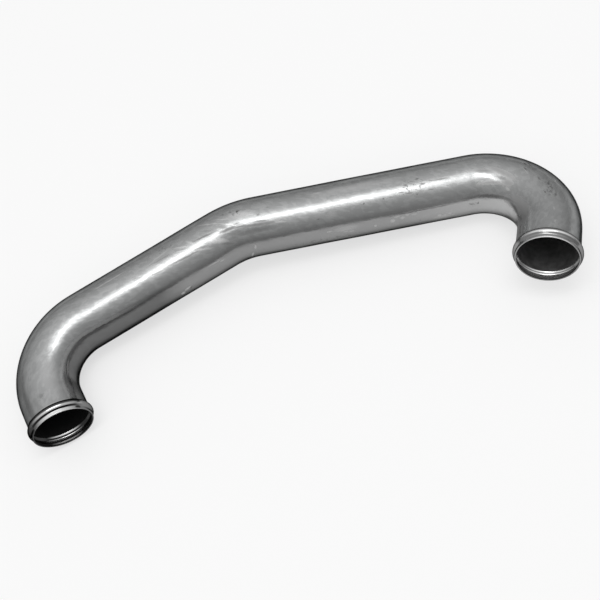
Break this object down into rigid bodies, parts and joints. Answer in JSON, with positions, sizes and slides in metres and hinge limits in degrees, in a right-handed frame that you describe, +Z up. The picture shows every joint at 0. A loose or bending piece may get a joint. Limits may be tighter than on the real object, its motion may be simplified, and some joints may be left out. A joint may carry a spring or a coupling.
{
  "type": "manifold pipe",
  "caption": "Thin-walled round steel tube bent in several planes, with a rolled bead and a plain lip at each open end where a hose slides on and is clamped.",
  "frame": {"origin": "middle of the footprint, on the floor that the pipe rests on", "axes": "+Z up, with the pipe lying as it comes to rest; +X along the pipe from its first rim towards its last bend; both mouths open towards -Y"},
  "size_m": [0.7188, 0.3186, 0.1125],
  "materials": {
    "tube_steel": "bare drawn steel tube, semi-gloss, with faint stains and handling marks"
  },
  "bodies": {
    "root": {"manifold_pipe": "tube_steel"}
  },
  "joints": []
}
